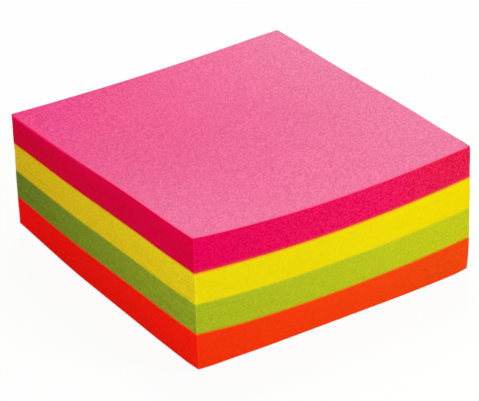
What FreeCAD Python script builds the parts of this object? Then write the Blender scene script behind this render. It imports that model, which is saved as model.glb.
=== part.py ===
import FreeCAD, Part
import os

import Sketcher

# Sticky note pad: a block of square notes in four colours, stacked on a release sheet.
# X runs across the glue strip, with the glued edge at +X, and Y runs along it.
# Z is up, and the origin is the middle of the underside.
# Lengths are in millimetres.

# Driving dimensions
SIZES = {
    "sheet_width": 76.0,
    "sheet_depth": 76.0,
    "sheets_per_pad": 80,
    "orange_gauge": 0.0865,
    "green_gauge": 0.088,
    "yellow_gauge": 0.092,
    "pink_gauge": 0.0955,
    "glue_gauge": 0.0076,
    "strip_width": 16.0,
    "liner_gauge": 0.1,
    "base_flat": 28.0,
    "loose_base_rise": 0.3,
    "glued_base_rise": 0.65,
    "free_reach": 30.0,
    "free_lift": 1.5,
    "free_curl": 0.8,
    "loose_curl": 1.2,
    "glued_curl": 1.7,
    "curl_gain": 0.09,
    "corner_fan": 0.07,
}

# The colour runs from the bottom of the block to the top
COLOURS = ["orange", "green", "yellow", "pink"]

doc = FreeCAD.newDocument("sticky_note_pad")
dims = doc.addObject("Spreadsheet::Sheet", "dims")
for row, (alias, size) in enumerate(SIZES.items(), start=1):
    dims.set(f"A{row}", alias)
    dims.set(f"B{row}", str(size))
    dims.setAlias(f"B{row}", alias)
doc.recompute()

# Where the profiles of a piece stand across the block, from the free edge to the glued one.
# Each has its place along X, the share of the glue film that has built up there, and how far
# the free edge lifts it. Its ends along Y rise by base under the last note, and by curl above
# that note and every gain more with each pad.
STATIONS = {
    "free_edge": {
        "place": "-dims.sheet_width / 2",
        "film": 0,
        "lift": "dims.free_lift",
        "base": "dims.loose_base_rise",
        "curl": "dims.free_curl",
        "gain": "0",
    },
    "lift_line": {
        "place": "dims.free_reach - dims.sheet_width / 2",
        "film": 0.6,
        "lift": "0",
        "base": "dims.loose_base_rise",
        "curl": "dims.loose_curl",
        "gain": "dims.curl_gain",
    },
    "strip_line": {
        "place": "dims.sheet_width / 2 - dims.strip_width",
        "film": 1,
        "lift": "0",
        "base": "dims.loose_base_rise",
        "curl": "dims.loose_curl",
        "gain": "dims.curl_gain",
    },
    "glued_edge": {
        "place": "dims.sheet_width / 2",
        "film": 1,
        "lift": "0",
        "base": "dims.glued_base_rise",
        "curl": "dims.glued_curl",
        "gain": "dims.curl_gain",
    },
}

# The seams count up from the release sheet's underside, its top, and the top of each pad
UNDERSIDE = -1
LINER_TOP = 0


def number(expression):
    """The value of a formula over the sheet's dimensions."""
    return float(dims.evalExpression(expression))


def middle_height(seam, station):
    """Formula for the height of a seam midway along Y."""
    if seam == UNDERSIDE:
        return station["lift"]
    gauges = " + ".join(["0"] + [f"dims.{colour}_gauge" for colour in COLOURS[:seam]])
    film = f"{seam * station['film']} * dims.glue_gauge"
    sheets = f"dims.sheets_per_pad * ({gauges} + {film})"
    return f"{station['lift']} + dims.liner_gauge + {sheets}"


def end_heights(seam, station):
    """Formulas for the heights of a seam's two ends along Y, above the release sheet."""
    middle = middle_height(seam, station)
    rise = f"{station['curl']} + {seam - 1} * {station['gain']}"
    side = f"({station['place']}) / (dims.sheet_width / 2)"
    fan = f"{seam} * dims.corner_fan * {side}"
    return f"{middle} + {rise} + {fan}", f"{middle} + {rise} - {fan}"


def new_sketch(body, name, place):
    """A sketch across the block: its own X is the block's Y, and its own Y is up."""
    sketch = body.newObject("Sketcher::SketchObject", name)
    plane = [f for f in body.Origin.OriginFeatures if f.Role == "YZ_Plane"][0]
    sketch.AttachmentSupport = [(plane, "")]
    sketch.MapMode = "FlatFace"
    sketch.AttachmentOffset = FreeCAD.Placement(
        FreeCAD.Vector(0, 0, number(place)), FreeCAD.Rotation()
    )
    sketch.setExpression("AttachmentOffset.Base.z", place)
    return sketch


def fix_point(sketch, geometry, position, across, height):
    """Holds a point of the sketch at its place and height, both formulas."""
    for kind, formula in (("DistanceX", across), ("DistanceY", height)):
        index = sketch.addConstraint(
            Sketcher.Constraint(kind, -1, 1, geometry, position, number(formula))
        )
        sketch.setExpression(f"Constraints[{index}]", formula)


def point(across, height):
    return FreeCAD.Vector(number(across), number(height), 0)


NEAR_SIDE = "-dims.sheet_depth / 2"
FAR_SIDE = "dims.sheet_depth / 2"


def curled_seam(sketch, middle, near, far):
    """One arc through the seam's near end, middle and far end, as curled paper lies."""
    arc = Part.Arc(point(NEAR_SIDE, near), point("0", middle), point(FAR_SIDE, far))
    curve = sketch.addGeometry(arc, False)
    crest = sketch.addGeometry(Part.Point(point("0", middle)), True)
    fix_point(sketch, curve, 1, NEAR_SIDE, near)
    fix_point(sketch, curve, 2, FAR_SIDE, far)
    sketch.addConstraint(Sketcher.Constraint("PointOnObject", crest, 1, -2))
    index = sketch.addConstraint(
        Sketcher.Constraint("DistanceY", -1, 1, crest, 1, number(middle))
    )
    sketch.setExpression(f"Constraints[{index}]", middle)
    sketch.addConstraint(Sketcher.Constraint("PointOnObject", crest, 1, curve))
    return (curve, 1), (curve, 2)


def resting_seam(sketch, middle, end_rise):
    """A flat stretch that the weight presses down, with an arc that curls up at each end."""
    end = f"{middle} + {end_rise}"
    near_foot = "-dims.base_flat / 2"
    far_foot = "dims.base_flat / 2"
    run = number("(dims.sheet_depth - dims.base_flat) / 2")
    rise = number(end_rise)
    radius = (run**2 + rise**2) / (2 * rise)
    bulge = radius - (radius**2 - (run / 2) ** 2) ** 0.5
    flat = sketch.addGeometry(
        Part.LineSegment(point(near_foot, middle), point(far_foot, middle)), False
    )
    fix_point(sketch, flat, 1, near_foot, middle)
    fix_point(sketch, flat, 2, far_foot, middle)
    between = point(FAR_SIDE, middle)
    between.x -= run / 2
    between.y += bulge
    rising = sketch.addGeometry(
        Part.Arc(point(far_foot, middle), between, point(FAR_SIDE, end)), False
    )
    between.x = -between.x
    falling = sketch.addGeometry(
        Part.Arc(point(NEAR_SIDE, end), between, point(near_foot, middle)), False
    )
    sketch.addConstraint(Sketcher.Constraint("Tangent", flat, 2, rising, 1))
    sketch.addConstraint(Sketcher.Constraint("Tangent", falling, 2, flat, 1))
    fix_point(sketch, rising, 2, FAR_SIDE, end)
    fix_point(sketch, falling, 1, NEAR_SIDE, end)
    return (falling, 1), (rising, 2)


def close_sides(sketch, below, above):
    """The cut edges of the sheets, straight up from the lower seam to the upper one."""
    for (low, low_end), (high, high_end) in zip(below, above):
        foot = sketch.getPoint(low, low_end)
        head = sketch.getPoint(high, high_end)
        side = sketch.addGeometry(Part.LineSegment(foot, head), False)
        sketch.addConstraint(Sketcher.Constraint("Coincident", low, low_end, side, 1))
        sketch.addConstraint(Sketcher.Constraint("Coincident", side, 2, high, high_end))


def seam(sketch, level, station):
    """Draws one seam and returns its near and far ends."""
    middle = middle_height(level, station)
    if level <= LINER_TOP:
        return resting_seam(sketch, middle, station["base"])
    return curled_seam(sketch, middle, *end_heights(level, station))


def make_piece(label, low, high):
    """Lofts a piece between two seams, from the free edge to the glued one."""
    body = doc.addObject("PartDesign::Body", label)
    body.Label = label
    profiles = []
    for name, station in STATIONS.items():
        sketch = new_sketch(body, f"{label}_{name}", station["place"])
        close_sides(sketch, seam(sketch, low, station), seam(sketch, high, station))
        profiles.append(sketch)
    doc.recompute()
    loft = body.newObject("PartDesign::AdditiveLoft", f"{label}_sheets")
    loft.Profile = profiles[0]
    loft.Sections = profiles[1:]
    loft.Ruled = True
    doc.recompute()
    return body


pieces = [make_piece("backing_sheet", UNDERSIDE, LINER_TOP)]
for level, colour in enumerate(COLOURS):
    pieces.append(make_piece(f"{colour}_pad", level, level + 1))
doc.recompute()

for item in doc.Objects:
    faults = {"Invalid", "Error"} & set(item.State)
    if faults:
        raise RuntimeError(f"{item.Name} did not rebuild: {item.State}")
for piece in pieces:
    if piece.Shape.isNull() or not piece.Shape.isValid() or len(piece.Shape.Solids) != 1:
        raise RuntimeError(f"{piece.Label} is not one sound solid")

os.makedirs("parts", exist_ok=True)
for piece in pieces:
    piece.Shape.exportStep(f"parts/{piece.Label}.step")
    box = piece.Shape.BoundBox
    print(
        f"{piece.Label}: {piece.Shape.Volume:.1f} mm3,"
        f" {box.XLength:.3f} x {box.YLength:.3f} mm,"
        f" from {box.ZMin:.3f} to {box.ZMax:.3f} mm"
    )
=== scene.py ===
import math
import random

import bmesh
import bpy
from mathutils import Matrix, Vector


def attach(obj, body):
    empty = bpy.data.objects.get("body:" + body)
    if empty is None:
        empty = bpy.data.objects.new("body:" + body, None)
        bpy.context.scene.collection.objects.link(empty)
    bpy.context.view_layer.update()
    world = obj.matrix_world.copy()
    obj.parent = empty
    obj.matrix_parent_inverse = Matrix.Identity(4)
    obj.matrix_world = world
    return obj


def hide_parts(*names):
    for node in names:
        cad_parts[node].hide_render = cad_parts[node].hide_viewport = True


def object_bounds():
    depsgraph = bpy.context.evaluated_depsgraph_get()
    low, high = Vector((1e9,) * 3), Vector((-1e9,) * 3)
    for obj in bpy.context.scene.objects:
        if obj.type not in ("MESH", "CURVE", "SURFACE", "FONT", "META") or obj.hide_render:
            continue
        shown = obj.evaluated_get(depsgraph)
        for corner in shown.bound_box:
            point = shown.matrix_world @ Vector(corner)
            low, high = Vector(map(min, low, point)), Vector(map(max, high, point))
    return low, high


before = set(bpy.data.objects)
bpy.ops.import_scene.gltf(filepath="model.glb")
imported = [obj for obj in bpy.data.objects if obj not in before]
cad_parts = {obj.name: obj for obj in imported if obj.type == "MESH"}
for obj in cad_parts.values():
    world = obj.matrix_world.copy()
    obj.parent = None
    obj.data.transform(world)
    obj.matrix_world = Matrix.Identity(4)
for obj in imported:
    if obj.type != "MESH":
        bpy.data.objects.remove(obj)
cad_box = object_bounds()

MM = 0.001
SEED = 7

# The runs of notes, from the bottom of the block to the top
RUNS = ["orange", "green", "yellow", "pink"]
SHEETS = 80
TOP_LEVEL = SHEETS * len(RUNS)

# The block's shape, as its solids have it
HALF_WIDTH = cad_box[1].x
HALF_DEPTH = cad_box[1].y
LINER_GAUGE = 0.1 * MM
GAUGES = [0.0865 * MM, 0.088 * MM, 0.092 * MM, 0.0955 * MM]
GLUE_GAUGE = 0.0076 * MM
STRIP_WIDTH = 16 * MM
BASE_FLAT = 28 * MM
FREE_REACH = 30 * MM
CORNER_FAN = 0.07 * MM

# The block's profiles: the free edge, the line where it starts to lift, the line where the
# strips of glue start, and the glued edge. Each has its place along X, the share of the glue that
# has built up there, how far it has lifted, how far its ends rise under the last note and curl
# above it, and how much more they curl with each further run.
STATIONS = [-HALF_WIDTH, FREE_REACH - HALF_WIDTH, HALF_WIDTH - STRIP_WIDTH, HALF_WIDTH]
FILM = [0, 0.6, 1, 1]
LIFT = [1.5 * MM, 0, 0, 0]
BASE_RISE = [0.3 * MM, 0.3 * MM, 0.3 * MM, 0.65 * MM]
CURL = [0.8 * MM, 1.2 * MM, 1.2 * MM, 1.7 * MM]
CURL_GAIN = [0, 0.09 * MM, 0.09 * MM, 0.09 * MM]

# How loosely the notes lie. The stack leans and bends, and wanders in slow waves, whose rates
# are in radians a note. Each note has also slid and turned a little by itself.
LEAN = Vector((-0.44 * MM, -0.50 * MM))
LEAN_BEND = Vector((-0.16 * MM, -0.20 * MM))
WAVES = 8
WAVE_RATES = (0.02, 0.09)
WANDER = 0.05 * MM
JITTER = 0.006 * MM
TURN = math.radians(0.02)

# A note's cut edge: a thin groove parts it from the next, and the corners are a little worn.
# The notes are built flat, one layer each, and bent to the block's shape afterwards.
GRID = 19
LAYER = 0.1 * MM
GROOVE_SHARE = 0.12
GROOVE_DEPTH = 0.014 * MM
CORNER_WEAR = 0.15 * MM
CORNER_STEPS = 2
RIM = 0.4 * MM
WELD = 0.001 * MM

# Corners that have rubbed or that lie a little off: the way to each along X and Y, the level
# where it shows most, how many notes it reaches up and down from there, how far it is pushed in
# and down, and its reach along X and Y
WORN_CORNERS = [
    (1, -1, 0, 16, 0.25 * MM, -0.03 * MM, 1 * MM, 1 * MM),
    (1, -1, 0, 70, 0, 0.38 * MM, 60 * MM, 10 * MM),
    (1, -1, 80, 160, 0, -0.45 * MM, 60 * MM, 12 * MM),
    (1, -1, 240, 80, 0, 0.1 * MM, 60 * MM, 30 * MM),
    (1, -1, 320, 100, 0, -0.2 * MM, 60 * MM, 30 * MM),
    (1, 1, 0, 90, 0.4 * MM, 0, 1 * MM, 1 * MM),
    (1, 1, 230, 130, 0, -0.3 * MM, 40 * MM, 40 * MM),
    (1, 1, 320, 100, 0, 0.16 * MM, 3 * MM, 3 * MM),
    (-1, 1, 320, 160, 0, 0.22 * MM, 5 * MM, 5 * MM),
]

# Sheet surfaces


def across(values, x):
    """A smooth line through the values at the stations, without overshoot between them.

    At a station it tilts by the harmonic mean of the slopes on both sides, or lies level where
    they go opposite ways.
    """
    runs = [after - before for before, after in zip(STATIONS, STATIONS[1:])]
    rises = [after - before for before, after in zip(values, values[1:])]
    slopes = [rise / run for rise, run in zip(rises, runs)]
    tilts = [slopes[0]]
    for before, after in zip(slopes, slopes[1:]):
        same_way = before * after > 0
        tilts.append(2 * before * after / (before + after) if same_way else 0)
    tilts.append(slopes[-1])
    piece = sum(x > station for station in STATIONS[1:-1])
    run = runs[piece]
    done = (x - STATIONS[piece]) / run
    left = 1 - done
    start = values[piece] * (1 + 2 * done) + run * tilts[piece] * done
    end = values[piece + 1] * (1 + 2 * left) - run * tilts[piece + 1] * left
    return start * left**2 + end * done**2


def seam_height(seam, x, y):
    """Height of a seam: glue and the lifted free edge raise it, and its ends curl up."""
    notes = SHEETS * (sum(GAUGES[:seam]) + seam * GLUE_GAUGE * across(FILM, x))
    middle = LINER_GAUGE + notes + across(LIFT, x)
    if seam == 0:
        past = max(abs(y) - BASE_FLAT / 2, 0) / (HALF_DEPTH - BASE_FLAT / 2)
        return middle + across(BASE_RISE, x) * past**2
    along = y / HALF_DEPTH
    curl = across(CURL, x) + (seam - 1) * across(CURL_GAIN, x)
    fan = seam * CORNER_FAN * x / HALF_WIDTH
    return middle + curl * along**2 - fan * along


def sheet_height(level, x, y):
    """Height at a level counted in notes from the release sheet up."""
    seam = min(int(level // SHEETS), len(RUNS) - 1)
    share = level / SHEETS - seam
    low = seam_height(seam, x, y)
    high = seam_height(seam + 1, x, y)
    return low + (high - low) * share


def stack_notes():
    """Where each note lies: how far it has slid, and how far it has turned.

    The lean and its bend are taken from their means, so the block as a whole stays centred.
    """
    chance = random.Random(SEED)
    waves = [(chance.uniform(*WAVE_RATES), chance.uniform(0, math.tau)) for _ in range(WAVES)]
    notes = []
    for note in range(TOP_LEVEL + 1):
        share = note / TOP_LEVEL
        slide = LEAN * (share - 1 / 2) + LEAN_BEND * (share**2 - 1 / 3)
        for index, (rate, phase) in enumerate(waves):
            swing = WANDER * math.sin(note * rate + phase) / 2
            slide[index % 2] += swing
        slide.x += chance.gauss(0, JITTER)
        slide.y += chance.gauss(0, JITTER)
        notes.append((slide, chance.gauss(0, TURN)))
    return notes


NOTES = stack_notes()


def slid(level, x, y):
    """A point of a note after the note has slid and turned."""
    slide, turn = NOTES[min(int(level), len(NOTES) - 1)]
    return x - turn * y + slide.x, y + turn * x + slide.y


def wear(level, x, y):
    """How far the corners have moved a point of the flat note in, and down."""
    shift = Vector((0, 0, 0))
    for side_x, side_y, worst, notes, inward, down, reach_x, reach_y in WORN_CORNERS:
        near_x = max(0, 1 - (HALF_WIDTH - side_x * x) / reach_x)
        near_y = max(0, 1 - (HALF_DEPTH - side_y * y) / reach_y)
        share = max(0, 1 - abs(level - worst) / notes) ** 2
        shift += near_x * near_y * share * Vector((-side_x * inward, -side_y * inward, -down))
    return shift


# Meshes


def link_mesh(name, bm, materials):
    """Makes a finished bmesh an object of the scene."""
    mesh = bpy.data.meshes.new(name)
    bm.to_mesh(mesh)
    bm.free()
    for material in materials:
        mesh.materials.append(material)
    shape = bpy.data.objects.new(name, mesh)
    bpy.context.scene.collection.objects.link(shape)
    return shape


def add_piece(name, bm, materials, node):
    """Turns a finished bmesh into a piece that stands for its solid."""
    piece = link_mesh(name, bm, materials)
    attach(piece, "root")
    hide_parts(node)


def new_verts(geometry):
    """The vertices among what an operator has made."""
    return [item for item in geometry if isinstance(item, bmesh.types.BMVert)]


def square_plate(bm, level):
    """A flat sheet with worn corners and a narrow rim, at a level counted in notes."""
    made = bmesh.ops.create_grid(
        bm,
        x_segments=GRID,
        y_segments=GRID,
        size=1,
        matrix=Matrix.Translation((0, 0, level * LAYER)),
    )
    verts = made["verts"]
    bmesh.ops.scale(bm, vec=(HALF_WIDTH, HALF_DEPTH, 1), verts=verts)
    corners = [vert for vert in verts if len(vert.link_edges) == 2]
    bmesh.ops.bevel(
        bm,
        geom=corners,
        offset=CORNER_WEAR,
        offset_type="OFFSET",
        segments=CORNER_STEPS,
        profile=0.5,
        affect="VERTICES",
        material=-1,
    )
    bmesh.ops.inset_region(
        bm, faces=bm.faces, thickness=RIM, use_boundary=True, use_even_offset=True
    )
    shrink = 1 - GROOVE_DEPTH / HALF_WIDTH
    bmesh.ops.scale(bm, vec=(shrink, shrink, 1), verts=bm.verts)


def lower_rim(bm, rim, drop, scale):
    """Draws the wall of the stack down from its rim by one step."""
    made = bmesh.ops.extrude_edge_only(bm, edges=rim)["geom"]
    verts = new_verts(made)
    bmesh.ops.translate(bm, vec=(0, 0, -drop * LAYER), verts=verts)
    bmesh.ops.scale(bm, vec=(scale, scale, 1), verts=verts)
    return [item for item in made if isinstance(item, bmesh.types.BMEdge)]


# The materials of a run, in the order of its slots
FREE_EDGES, GLUED_EDGE, NOTE_FACE = range(3)


def note_stack(first, count):
    """A closed stack of notes with a fine groove between each two, from a level up."""
    bm = bmesh.new()
    square_plate(bm, first + count)
    top_faces = bm.faces[:]
    rim = [edge for edge in bm.edges if edge.is_boundary]
    for edge in rim:
        edge.smooth = False
    grow = 1 / (1 - GROOVE_DEPTH / HALF_WIDTH)
    half_groove = GROOVE_SHARE / 2
    for _ in range(count):
        rim = lower_rim(bm, rim, half_groove, grow)
        rim = lower_rim(bm, rim, 1 - GROOVE_SHARE, 1)
        rim = lower_rim(bm, rim, half_groove, 1 / grow)
    walls = set(bm.faces) - set(top_faces)
    underside = bmesh.ops.duplicate(bm, geom=top_faces)["geom"]
    bmesh.ops.translate(bm, vec=(0, 0, -count * LAYER), verts=new_verts(underside))
    bmesh.ops.remove_doubles(bm, verts=bm.verts, dist=WELD)
    bmesh.ops.recalc_face_normals(bm, faces=bm.faces)
    for face in bm.faces:
        face.smooth = face not in walls
        if face.smooth:
            face.material_index = NOTE_FACE
        elif face.normal.x > abs(face.normal.y):
            face.material_index = GLUED_EDGE
        else:
            face.material_index = FREE_EDGES
    return bm


def mark_levels(bm):
    """Keeps for the materials each point's level, and how far it is from the two sides that
    catch the light and from the nearest corner.
    """
    level = bm.verts.layers.float.new("note_level")
    inset = bm.verts.layers.float.new("edge_distance")
    corner = bm.verts.layers.float.new("corner_distance")
    for vert in bm.verts:
        x, y, z = vert.co
        vert[level] = z / LAYER
        vert[inset] = min(HALF_WIDTH - x, HALF_DEPTH + y)
        vert[corner] = max(HALF_WIDTH - abs(x), HALF_DEPTH - abs(y))


def lay_down(bm):
    """Bends the flat stack to its curl, with each note where it has slid."""
    for vert in bm.verts:
        level = vert.co.z / LAYER
        shift = wear(level, vert.co.x, vert.co.y)
        x, y = slid(level, vert.co.x, vert.co.y)
        vert.co = Vector((x, y, sheet_height(level, x, y))) + shift


# Material building blocks


def new_group(name, inputs, outputs):
    """A shader group with named sockets, and its input and output nodes."""
    group = bpy.data.node_groups.new(name, "ShaderNodeTree")
    for label, kind, value in inputs:
        socket = group.interface.new_socket(label, in_out="INPUT", socket_type=kind)
        socket.default_value = value
    for label, kind in outputs:
        group.interface.new_socket(label, in_out="OUTPUT", socket_type=kind)
    return group, group.nodes.new("NodeGroupInput"), group.nodes.new("NodeGroupOutput")


def math_node(tree, operation, first, second):
    """A math node fed by sockets or plain numbers, and its result."""
    node = tree.nodes.new("ShaderNodeMath")
    node.operation = operation
    for socket, value in zip(node.inputs, (first, second)):
        if isinstance(value, bpy.types.NodeSocket):
            tree.links.new(value, socket)
        else:
            socket.default_value = value
    return node.outputs[0]


def noise_node(tree, vector, scale, detail, roughness):
    """A noise texture and its value."""
    node = tree.nodes.new("ShaderNodeTexNoise")
    node.inputs["Detail"].default_value = detail
    node.inputs["Roughness"].default_value = roughness
    tree.links.new(vector, node.inputs["Vector"])
    if isinstance(scale, bpy.types.NodeSocket):
        tree.links.new(scale, node.inputs["Scale"])
    else:
        node.inputs["Scale"].default_value = scale
    return node.outputs["Fac"]


# Which way the felt of the paper runs, how much longer its marks are that way, and how broken
# up its clouds and its grain are
FELT_TURN = math.radians(55)
FELT_STRETCH = 2.0
CLOUD_DETAIL = 3.0
GRAIN_DETAIL = 1.0
FELT_ROUGHNESS = 0.6


def make_fibre_group():
    """The felt of paper: clouds a few millimetres wide, and a grain much finer than that."""
    group, start, end = new_group(
        "paper_fibre",
        [("Cloud Scale", "NodeSocketFloat", 500.0), ("Grain Scale", "NodeSocketFloat", 2200.0)],
        [("Cloud", "NodeSocketFloat"), ("Grain", "NodeSocketFloat")],
    )
    felt = group.nodes.new("ShaderNodeMapping")
    felt.vector_type = "TEXTURE"
    felt.inputs["Rotation"].default_value = (0, 0, FELT_TURN)
    felt.inputs["Scale"].default_value = (1, FELT_STRETCH, 1)
    place = group.nodes.new("ShaderNodeTexCoord").outputs["Object"]
    group.links.new(place, felt.inputs["Vector"])
    for label, detail in (("Cloud", CLOUD_DETAIL), ("Grain", GRAIN_DETAIL)):
        scale = start.outputs[f"{label} Scale"]
        value = noise_node(group, felt.outputs[0], scale, detail, FELT_ROUGHNESS)
        group.links.new(value, end.inputs[label])
    return group


# The shades of the notes: how often they change along a cut side, for each metre, and how
# broken up they are. Then how broken up the marks of the knife are, and how much the shades
# stand out beside them.
SHADE_SCALE = 60.0
SHADE_DETAIL = 2.0
SHADE_ROUGHNESS = 0.7
KNIFE_DETAIL = 2.0
KNIFE_ROUGHNESS = 0.5
SHADE_RELIEF = 0.6


def make_cut_group():
    """The cut side of a stack: each note a little lighter or darker, with faint knife marks."""
    group, start, end = new_group(
        "cut_sheets",
        [("Note Change", "NodeSocketFloat", 0.7), ("Knife Scale", "NodeSocketFloat", 900.0)],
        [("Streak", "NodeSocketFloat"), ("Height", "NodeSocketFloat")],
    )
    place = group.nodes.new("ShaderNodeTexCoord").outputs["Object"]
    split = group.nodes.new("ShaderNodeSeparateXYZ")
    group.links.new(place, split.inputs[0])
    level = group.nodes.new("ShaderNodeAttribute")
    level.attribute_name = "note_level"
    shade_place = group.nodes.new("ShaderNodeCombineXYZ")
    knife_place = group.nodes.new("ShaderNodeCombineXYZ")
    for axis in ("X", "Y"):
        scaled = math_node(group, "MULTIPLY", split.outputs[axis], SHADE_SCALE)
        group.links.new(scaled, shade_place.inputs[axis])
        group.links.new(split.outputs[axis], knife_place.inputs[axis])
    step = math_node(group, "MULTIPLY", level.outputs["Fac"], start.outputs["Note Change"])
    group.links.new(step, shade_place.inputs["Z"])
    streak = noise_node(group, shade_place.outputs[0], 1.0, SHADE_DETAIL, SHADE_ROUGHNESS)
    knife_scale = start.outputs["Knife Scale"]
    knife = noise_node(group, knife_place.outputs[0], knife_scale, KNIFE_DETAIL, KNIFE_ROUGHNESS)
    height = math_node(group, "ADD", math_node(group, "MULTIPLY", streak, SHADE_RELIEF), knife)
    group.links.new(streak, end.inputs["Streak"])
    group.links.new(height, end.inputs["Height"])
    return group


# The value at which a change of tone leaves a colour as it is
EVEN_TONE = 0.5


def make_tone_group():
    """Lightens or darkens a colour by a share that a value from 0 to 1 sets."""
    group, start, end = new_group(
        "tone_change",
        [
            ("Color", "NodeSocketColor", (1, 1, 1, 1)),
            ("Value", "NodeSocketFloat", EVEN_TONE),
            ("Amount", "NodeSocketFloat", 0.1),
        ],
        [("Color", "NodeSocketColor")],
    )
    centred = math_node(group, "SUBTRACT", start.outputs["Value"], EVEN_TONE)
    change = math_node(group, "MULTIPLY", centred, start.outputs["Amount"])
    gain = math_node(group, "ADD", change, 1.0)
    scale = group.nodes.new("ShaderNodeVectorMath")
    scale.operation = "SCALE"
    group.links.new(start.outputs["Color"], scale.inputs[0])
    group.links.new(gain, scale.inputs["Scale"])
    group.links.new(scale.outputs[0], end.inputs["Color"])
    return group


FIBRE = make_fibre_group()
CUT = make_cut_group()
TONE = make_tone_group()

# How deep the relief of paper is, where its strength is 1
RELIEF_DEPTH = 0.02 * MM

# The upright corners carry a painted highlight: how near to them it is full, how near it shows at
# all, and by how much it lightens them
CORNER_HIGHLIGHT_FULLY = 0.1 * MM
CORNER_HIGHLIGHT_AT_ALL = 0.5 * MM
CORNER_HIGHLIGHT_TONE = 0.09


class Paper:
    """A paper material under way, with the nodes that every sheet shares."""

    def __init__(self, name, roughness, specular):
        self.material = bpy.data.materials.new(name)
        self.material.use_nodes = True
        self.tree = self.material.node_tree
        self.shader = self.tree.nodes["Principled BSDF"]
        self.shader.inputs["Roughness"].default_value = roughness
        self.shader.inputs["Specular IOR Level"].default_value = specular

    def group(self, group, **values):
        node = self.tree.nodes.new("ShaderNodeGroup")
        node.node_tree = group
        for name, value in values.items():
            node.inputs[name.replace("_", " ")].default_value = value
        return node

    def link(self, out, into):
        self.tree.links.new(out, into)

    def tone(self, color, value, amount):
        """The colour after its lightness has been changed by a value around an even one."""
        node = self.group(TONE, Amount=amount)
        self.link(color, node.inputs["Color"])
        self.link(value, node.inputs["Value"])
        return node.outputs["Color"]

    def lighten(self, color, share, amount):
        """The colour, lighter by an amount where a share is 1, and as it was where it is 0."""
        return self.tone(color, self.math("ADD", share, EVEN_TONE), amount)

    def blend(self, first, second, share):
        """A colour between two, by a share from 0 to 1."""
        node = self.tree.nodes.new("ShaderNodeMix")
        node.data_type = "RGBA"
        for socket, color in ((node.inputs["A"], first), (node.inputs["B"], second)):
            if isinstance(color, bpy.types.NodeSocket):
                self.link(color, socket)
            else:
                socket.default_value = (*color, 1)
        self.link(share, node.inputs["Factor"])
        return node.outputs["Result"]

    def math(self, operation, first, second):
        return math_node(self.tree, operation, first, second)

    def line(self, value, slope, start):
        """A value along a straight line."""
        return self.math("ADD", self.math("MULTIPLY", value, slope), start)

    def share(self, value, low, high, kind="SMOOTHSTEP"):
        """A share from 0 to 1 as a value goes from low to high."""
        node = self.tree.nodes.new("ShaderNodeMapRange")
        node.interpolation_type = kind
        node.inputs["From Min"].default_value = low
        node.inputs["From Max"].default_value = high
        self.link(value, node.inputs["Value"])
        return node.outputs["Result"]

    def attribute(self, name):
        node = self.tree.nodes.new("ShaderNodeAttribute")
        node.attribute_name = name
        return node.outputs["Fac"]

    def axis(self, name):
        """The piece's own X, Y or Z."""
        place = self.tree.nodes.new("ShaderNodeTexCoord").outputs["Object"]
        split = self.tree.nodes.new("ShaderNodeSeparateXYZ")
        self.link(place, split.inputs[0])
        return split.outputs[name]

    def across_share(self):
        """The share of the way from the free edge to the glued one."""
        return self.share(self.axis("X"), -HALF_WIDTH, HALF_WIDTH, "LINEAR")

    def along_share(self):
        """The share of the way along the glue strip, from the near end to the far one."""
        return self.share(self.axis("Y"), -HALF_DEPTH, HALF_DEPTH, "LINEAR")

    def highlit_corner(self, color):
        """The colour, a little lighter along the block's upright corners, as a painted highlight.
        """
        near = self.share(self.attribute("corner_distance"), CORNER_HIGHLIGHT_AT_ALL, CORNER_HIGHLIGHT_FULLY)
        return self.lighten(color, near, CORNER_HIGHLIGHT_TONE)

    def relief(self, height, strength):
        node = self.tree.nodes.new("ShaderNodeBump")
        node.inputs["Strength"].default_value = strength
        node.inputs["Distance"].default_value = RELIEF_DEPTH
        self.link(height, node.inputs["Height"])
        self.link(node.outputs[0], self.shader.inputs["Normal"])

    def finish(self, color):
        self.link(color, self.shader.inputs["Base Color"])
        return self.material


def srgb(red, green, blue):
    """A colour given as it looks on a screen, from 0 to 255, as light."""
    def light(value):
        share = value / 255
        return share / 12.92 if share <= 0.04045 else ((share + 0.055) / 1.055) ** 2.4
    return light(red), light(green), light(blue)


# Paper

# Each run's colours. Its loose edges, kept darker than its glued edge as painted shade: at the
# free edge, and beside the glue strip, lighter there as painted light, and what tints their
# clouds. Its glued edge, kept lighter than its loose edges as painted light: from the near end to
# the far one, lighter towards the far end as painted light, its last stretch, and its flecks.
COLOURS = {
    "orange": {
        "free": srgb(243, 20, 18),
        "strip": srgb(250, 32, 15),
        "cloud": srgb(238, 26, 22),
        "near": srgb(252, 54, 12),
        "far": srgb(249, 76, 16),
        "last": srgb(241, 72, 11),
        "fleck": srgb(255, 140, 70),
    },
    "green": {
        "free": srgb(106, 127, 38),
        "strip": srgb(150, 170, 38),
        "cloud": srgb(134, 134, 46),
        "near": srgb(176, 194, 34),
        "far": srgb(202, 212, 27),
        "last": srgb(198, 205, 24),
        "fleck": srgb(206, 214, 60),
    },
    "yellow": {
        "free": srgb(219, 186, 27),
        "strip": srgb(230, 208, 26),
        "cloud": srgb(222, 184, 30),
        "near": srgb(240, 223, 13),
        "far": srgb(242, 226, 7),
        "last": srgb(240, 221, 5),
        "fleck": srgb(250, 228, 40),
    },
    "pink": {
        "free": srgb(210, 10, 54),
        "strip": srgb(217, 7, 64),
        "cloud": srgb(208, 12, 46),
        "near": srgb(234, 0, 88),
        "far": srgb(239, 13, 87),
        "last": srgb(230, 18, 66),
        "fleck": srgb(255, 160, 255),
    },
}

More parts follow.
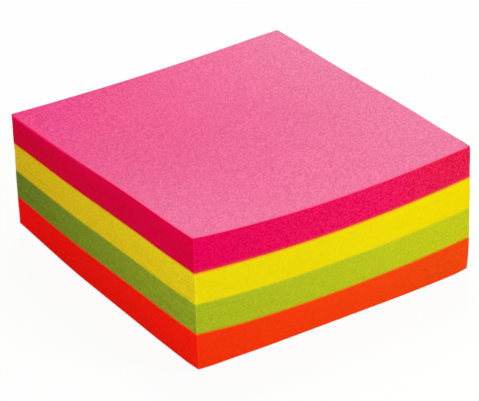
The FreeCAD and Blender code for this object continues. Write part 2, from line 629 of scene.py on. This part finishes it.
# The face of a note: where it has kept its depth of colour, where a painted sheen pales it, and
# the painted highlight of its rim
FACES = {
    "orange": (srgb(240, 84, 52), srgb(246, 120, 84), srgb(255, 70, 30)),
    "green": (srgb(190, 208, 84), srgb(206, 220, 120), srgb(214, 226, 60)),
    "yellow": (srgb(242, 228, 70), srgb(246, 236, 120), srgb(255, 240, 40)),
    "pink": (srgb(239, 4, 123), srgb(239, 113, 158), srgb(255, 46, 116)),
}

# The coating of the release sheet, and what its clouds turn to
COATING = srgb(243, 243, 238)
COATING_CLOUD = srgb(230, 230, 224)
WHITE = (1, 1, 1)

# How rough each surface is, and how much of a shine it has
CUT_SHINE = (0.9, 0.0)
FACE_SHINE = (0.5, 0.3)
COATING_SHINE = (0.4, 0.5)

# How strong each surface's relief is
FREE_RELIEF = 0.3
GLUED_RELIEF = 0.2
SHEET_RELIEF = 0.15

# How many notes deep a colour shines into the next run
BLEED = 5

# Pink and yellow meet in a parting, where their colours darken as painted shade: the colours that
# each turns to there on the loose and the glued sides, and how many notes deep it reaches
FREE_PARTING_SHADE = {"pink": srgb(178, 22, 8), "yellow": srgb(236, 112, 46)}
GLUED_PARTING_SHADE = {"pink": srgb(228, 58, 40), "yellow": srgb(250, 142, 46)}
PARTING_SHADE_REACH = 7


def bled(paper, run, base, parting_shade):
    """A run's colour, which meets that of its neighbours halfway at the seams, and darkens to a
    painted shade where pink meets yellow.
    """
    index = RUNS.index(run)
    level = paper.attribute("note_level")
    color = base(run)
    for side in (-1, 1):
        if index + side not in range(len(RUNS)):
            continue
        neighbour = RUNS[index + side]
        seam = max(index, index + side) * SHEETS
        # Painted shade in the parting between pink and yellow
        if {run, neighbour} == {"yellow", "pink"}:
            met = parting_shade[run]
            share = paper.share(level, seam - side * PARTING_SHADE_REACH, seam)
        else:
            met = base(neighbour)
            share = paper.share(level, seam - side * BLEED, seam + side * BLEED)
        color = paper.blend(color, met, share)
    return color


# The loose edges: the size of their clouds, which of these are tinted and how strongly, and how
# much the notes differ in shade
FREE_CLOUD_SCALE = 700.0
FREE_CLOUD_RANGE = (0.45, 0.8)
FREE_CLOUD_TINT = 0.6
FREE_STREAK_TONE = 0.08
FREE_GRAIN = {"orange": 0.4, "green": 0.8, "yellow": 0.4, "pink": 0.35}

# The last notes' loose edges catch more light, and where they stand a little apart it gets
# between them
LIT_NOTES = 40
LIT_EDGE = srgb(223, 6, 68)
FANNED_NOTES = 7
FANNED_EDGE = srgb(252, 46, 120)
FAN_END = 12 * MM


def free_edges(run):
    """The cut sides of loose notes: deep and matt, darker than the glued side as painted shade,
    with each note a shade of its own.
    """
    paper = Paper(f"{run}_free_edges", *CUT_SHINE)
    across_share = paper.across_share()

    def base(name):
        # Painted light: the loose edges grow lighter towards the glue strip
        return paper.blend(COLOURS[name]["free"], COLOURS[name]["strip"], across_share)

    cut = paper.group(CUT)
    fibre = paper.group(FIBRE, Cloud_Scale=FREE_CLOUD_SCALE)
    color = bled(paper, run, base, FREE_PARTING_SHADE)
    cloud = paper.share(fibre.outputs["Cloud"], *FREE_CLOUD_RANGE)
    tint = paper.math("MULTIPLY", cloud, FREE_CLOUD_TINT)
    color = paper.blend(color, COLOURS[run]["cloud"], tint)
    if run == RUNS[-1]:
        level = paper.attribute("note_level")
        lit = paper.share(level, TOP_LEVEL - LIT_NOTES, TOP_LEVEL)
        color = paper.blend(color, LIT_EDGE, lit)
        top = paper.share(level, TOP_LEVEL - FANNED_NOTES, TOP_LEVEL - FANNED_NOTES / 2)
        loose = paper.share(paper.axis("X"), FAN_END, -HALF_WIDTH)
        color = paper.blend(color, FANNED_EDGE, paper.math("MULTIPLY", top, loose))
    color = paper.tone(color, cut.outputs["Streak"], FREE_STREAK_TONE)
    color = paper.tone(color, fibre.outputs["Grain"], FREE_GRAIN[run])
    # Painted highlight along the upright corners
    color = paper.highlit_corner(color)
    paper.relief(cut.outputs["Height"], FREE_RELIEF)
    return paper.finish(color)


# The glued edge: where its last stretch begins, the size of its clouds, and how much the notes,
# the clouds and the grain change its tone
LAST_STRETCH = 8 * MM
GLUED_CLOUD_SCALE = 900.0
GLUED_STREAK_TONE = 0.05
GLUED_CLOUD_TONE = 0.08
GLUED_GRAIN = {"orange": 0.12, "green": 0.38, "yellow": 0.09, "pink": 0.46}

# Its flecks: which of the grain they are, how strong they are at the far end, and the share of
# that at the near end
GLUED_FLECK_RANGE = (0.4, 0.6)
GLUED_FLECKS = {"orange": 0.05, "green": 0.1, "yellow": 0.0, "pink": 0.05}
NEAR_FLECKS = 0.25


def glued_edge(run):
    """The cut side that the glue binds: closed and even, and lighter than the loose sides as
    painted light.
    """
    paper = Paper(f"{run}_glued_edge", *CUT_SHINE)
    along_share = paper.along_share()
    last = paper.share(paper.axis("Y"), LAST_STRETCH, HALF_DEPTH)

    def base(name):
        # Painted light: the glued edge grows lighter from the near end to the far one
        color = paper.blend(COLOURS[name]["near"], COLOURS[name]["far"], along_share)
        return paper.blend(color, COLOURS[name]["last"], last)

    cut = paper.group(CUT)
    fibre = paper.group(FIBRE, Cloud_Scale=GLUED_CLOUD_SCALE)
    color = bled(paper, run, base, GLUED_PARTING_SHADE)
    color = paper.tone(color, cut.outputs["Streak"], GLUED_STREAK_TONE)
    color = paper.tone(color, fibre.outputs["Cloud"], GLUED_CLOUD_TONE)
    color = paper.tone(color, fibre.outputs["Grain"], GLUED_GRAIN[run])
    fleck = paper.share(fibre.outputs["Grain"], *GLUED_FLECK_RANGE, "LINEAR")
    growing = paper.line(along_share, 1 - NEAR_FLECKS, NEAR_FLECKS)
    strength = paper.math("MULTIPLY", growing, GLUED_FLECKS[run])
    fleck = paper.math("MULTIPLY", fleck, strength)
    color = paper.blend(color, COLOURS[run]["fleck"], fleck)
    # Painted highlight along the upright corners
    color = paper.highlit_corner(color)
    paper.relief(cut.outputs["Height"], GLUED_RELIEF)
    return paper.finish(color)


# How a painted sheen pales a note's face: it grows across and along the note, each way with a bend
# and a slope, but less where it has come from both ways. The corner where both are most is a
# little darker, as painted shade.
PAINTED_SHEEN_ACROSS = (0.11, 0.69)
PAINTED_SHEEN_ALONG = (0.532, 0.42)
PAINTED_SHEEN_BOTH = 0.93
FAR_CORNER_SHADE = -0.05

# Its white flecks, partly the glints of the painted sheen: which of the grain they are, how much
# stronger they get under the painted sheen, and how strong they are elsewhere. Then how much the
# clouds and the grain change its tone.
WHITE_FLECK_RANGE = (0.6, 0.4)
WHITE_FLECKS = (0.03, 0.04)
FACE_CLOUD_TONE = 0.2
FACE_GRAIN_TONE = -0.28

# How far in from the cut the rim's painted highlight reaches, how strongly it tints the face, and
# how much lighter it makes it
RIM_HIGHLIGHT_REACH = 1.1 * MM
RIM_HIGHLIGHT_TINT = 0.65
RIM_HIGHLIGHT_TONE = 0.06


def note_face(run):
    """The face of a note: finely flecked, with a painted sheen that leaves it deepest at one
    corner, and a painted highlight at the cut.
    """
    deep, sheen_color, glow = FACES[run]
    paper = Paper(f"{run}_note_face", *FACE_SHINE)
    across_share = paper.across_share()
    along_share = paper.along_share()
    both = paper.math("MULTIPLY", across_share, along_share)
    sheen_across = paper.math("MULTIPLY", across_share, paper.line(across_share, *PAINTED_SHEEN_ACROSS))
    sheen_along = paper.math("MULTIPLY", along_share, paper.line(along_share, *PAINTED_SHEEN_ALONG))
    painted_sheen = paper.math("ADD", sheen_across, sheen_along)
    painted_sheen = paper.math("SUBTRACT", painted_sheen, paper.math("MULTIPLY", both, PAINTED_SHEEN_BOTH))
    # Painted sheen: the face pales where the light's sheen falls
    color = paper.blend(deep, sheen_color, painted_sheen)
    # Painted shade at the far corner
    color = paper.lighten(color, both, FAR_CORNER_SHADE)
    fibre = paper.group(FIBRE)
    # White flecks, partly the glints of the painted sheen, stronger under it
    fleck = paper.share(fibre.outputs["Grain"], *WHITE_FLECK_RANGE, "LINEAR")
    strength = paper.line(painted_sheen, *WHITE_FLECKS)
    color = paper.blend(color, WHITE, paper.math("MULTIPLY", fleck, strength))
    color = paper.tone(color, fibre.outputs["Cloud"], FACE_CLOUD_TONE)
    color = paper.tone(color, fibre.outputs["Grain"], FACE_GRAIN_TONE)
    # Painted highlight along the two cut sides that catch the light
    rim = paper.share(paper.attribute("edge_distance"), RIM_HIGHLIGHT_REACH, 0)
    color = paper.blend(color, glow, paper.math("MULTIPLY", rim, RIM_HIGHLIGHT_TINT))
    color = paper.lighten(color, rim, RIM_HIGHLIGHT_TONE)
    paper.relief(fibre.outputs["Grain"], SHEET_RELIEF)
    return paper.finish(color)


# How small the clouds of the coating are
COATING_CLOUD_SCALE = 250.0


def release_paper():
    """The coated underside: a pale, slightly glossy sheet."""
    paper = Paper("release_coating", *COATING_SHINE)
    fibre = paper.group(FIBRE, Cloud_Scale=COATING_CLOUD_SCALE)
    color = paper.blend(COATING, COATING_CLOUD, fibre.outputs["Cloud"])
    paper.relief(fibre.outputs["Grain"], SHEET_RELIEF)
    return paper.finish(color)


# Pieces


def make_run(index):
    """A run of notes, with the materials in the order of their slots."""
    run = RUNS[index]
    bm = note_stack(index * SHEETS, SHEETS)
    mark_levels(bm)
    lay_down(bm)
    materials = [free_edges(run), glued_edge(run), note_face(run)]
    add_piece(f"{run}_notes", bm, materials, f"{run}_pad")


def make_release_sheet():
    """The thin sheet under the last note, which follows the block's curl."""
    bm = note_stack(0, 1)
    for vert in bm.verts:
        drop = (1 - vert.co.z / LAYER) * LINER_GAUGE
        shift = wear(0, vert.co.x, vert.co.y)
        x, y = slid(0, vert.co.x, vert.co.y)
        vert.co = Vector((x, y, seam_height(0, x, y) - drop)) + shift
    paper = release_paper()
    add_piece("release_sheet", bm, [paper] * 3, "backing_sheet")


for run_index in range(len(RUNS)):
    make_run(run_index)
make_release_sheet()

# Camera: the place and lens that bring the block's corners where the photograph has them

IMAGE_WIDTH = 479
SENSOR_WIDTH = 36.0
CAMERA_AZIMUTH = math.radians(55.316)
CAMERA_ELEVATION = math.radians(29.706)
CAMERA_DISTANCE = 702.2 * MM
FOCAL_PIXELS = 3012.5

# The point that the camera and the lights are turned to, and where it lies in the picture, in
# pixels to the right of the middle and below it
AIM = Vector((0, 0, 15 * MM))
AIM_PIXELS = Vector((0.37, -6.10))

# How near and how far the camera sees
NEAR_CLIP = 10 * MM
FAR_CLIP = 20000 * MM


def make_camera():
    """The photograph's view, turned to the block and then moved sideways by a few pixels."""
    flat = math.cos(CAMERA_ELEVATION)
    back = Vector((
        math.sin(CAMERA_AZIMUTH) * flat,
        -math.cos(CAMERA_AZIMUTH) * flat,
        math.sin(CAMERA_ELEVATION),
    ))
    right = Vector((math.cos(CAMERA_AZIMUTH), math.sin(CAMERA_AZIMUTH), 0))
    up = back.cross(right)
    pixel = CAMERA_DISTANCE / FOCAL_PIXELS
    data = bpy.data.cameras.new("camera")
    data.sensor_width = SENSOR_WIDTH
    data.lens = FOCAL_PIXELS * SENSOR_WIDTH / IMAGE_WIDTH
    data.clip_start = NEAR_CLIP
    data.clip_end = FAR_CLIP
    camera = bpy.data.objects.new("camera", data)
    bpy.context.scene.collection.objects.link(camera)
    place = AIM + back * CAMERA_DISTANCE - right * AIM_PIXELS.x * pixel + up * AIM_PIXELS.y * pixel
    camera.matrix_world = Matrix((
        (right.x, up.x, back.x, place.x),
        (right.y, up.y, back.y, place.y),
        (right.z, up.z, back.z, place.z),
        (0, 0, 0, 1),
    ))
    bpy.context.scene.camera = camera


# Light: three softboxes round the block. Each has its direction from the point they are turned
# to, its distance and its size in metres, and the share of full light that it gives a face there.

SOFTBOXES = [
    ("key_softbox", Vector((0.65, 0.55, 0.5)), 0.5, 0.3, 0.52),
    ("fill_softbox", Vector((0.3, -0.88, 0.36)), 0.5, 0.3, 0.42),
    ("back_softbox", Vector((-0.45, 0.3, 0.84)), 0.9, 0.4, 0.5),
]
SKY_STRENGTH = 0.25


def make_softbox(name, direction, distance, size, share):
    """A square lamp. With a share of 1 it lights a white face turned to it as pure white."""
    data = bpy.data.lights.new(name, "AREA")
    data.shape = "SQUARE"
    data.size = size
    data.energy = share * math.pi**2 * distance**2
    lamp = bpy.data.objects.new(name, data)
    bpy.context.scene.collection.objects.link(lamp)
    lamp.location = AIM + direction.normalized() * distance
    lamp.rotation_mode = "QUATERNION"
    lamp.rotation_quaternion = (-direction).to_track_quat("-Z", "Y")


def mix_shaders(tree, share, first, second, surface):
    """Joins two shaders into a surface by the share that the second has."""
    mix = tree.nodes.new("ShaderNodeMixShader")
    tree.links.new(share, mix.inputs[0])
    tree.links.new(first.outputs[0], mix.inputs[1])
    tree.links.new(second.outputs[0], mix.inputs[2])
    tree.links.new(mix.outputs[0], surface)


def make_sky():
    """Even light from all round, seen by the camera as plain white."""
    world = bpy.data.worlds.new("studio")
    bpy.context.scene.world = world
    world.use_nodes = True
    tree = world.node_tree
    light = tree.nodes["Background"]
    light.inputs["Color"].default_value = (*WHITE, 1)
    light.inputs["Strength"].default_value = SKY_STRENGTH
    seen = tree.nodes.new("ShaderNodeBackground")
    seen.inputs["Strength"].default_value = 1.0
    camera_ray = tree.nodes.new("ShaderNodeLightPath").outputs["Is Camera Ray"]
    mix_shaders(tree, camera_ray, light, seen, tree.nodes["World Output"].inputs["Surface"])


# The table top: half its width, how white it is, and how much of what the camera sees there is
# plain white, with the block's shadow in the rest
TABLE_REACH = 2000 * MM
TABLE_WHITE = (0.9, 0.9, 0.9, 1)
TABLE_ROUGHNESS = 0.9
TABLE_GLOW = 0.93


def make_floor():
    """A plain white table top that keeps the block's soft shadow."""
    bm = bmesh.new()
    bmesh.ops.create_grid(bm, x_segments=1, y_segments=1, size=TABLE_REACH)
    material = bpy.data.materials.new("white_table")
    material.use_nodes = True
    tree = material.node_tree
    shader = tree.nodes["Principled BSDF"]
    shader.inputs["Base Color"].default_value = TABLE_WHITE
    shader.inputs["Roughness"].default_value = TABLE_ROUGHNESS
    shader.inputs["Specular IOR Level"].default_value = 0.0
    glow = tree.nodes.new("ShaderNodeEmission")
    glow.inputs["Strength"].default_value = 1.0
    camera_ray = tree.nodes.new("ShaderNodeLightPath").outputs["Is Camera Ray"]
    share = math_node(tree, "MULTIPLY", camera_ray, TABLE_GLOW)
    mix_shaders(tree, share, shader, glow, tree.nodes["Material Output"].inputs["Surface"])
    floor = link_mesh("table_top", bm, [material])


make_camera()
for softbox in SOFTBOXES:
    make_softbox(*softbox)
make_sky()
make_floor()
bpy.context.scene.view_settings.view_transform = "Standard"
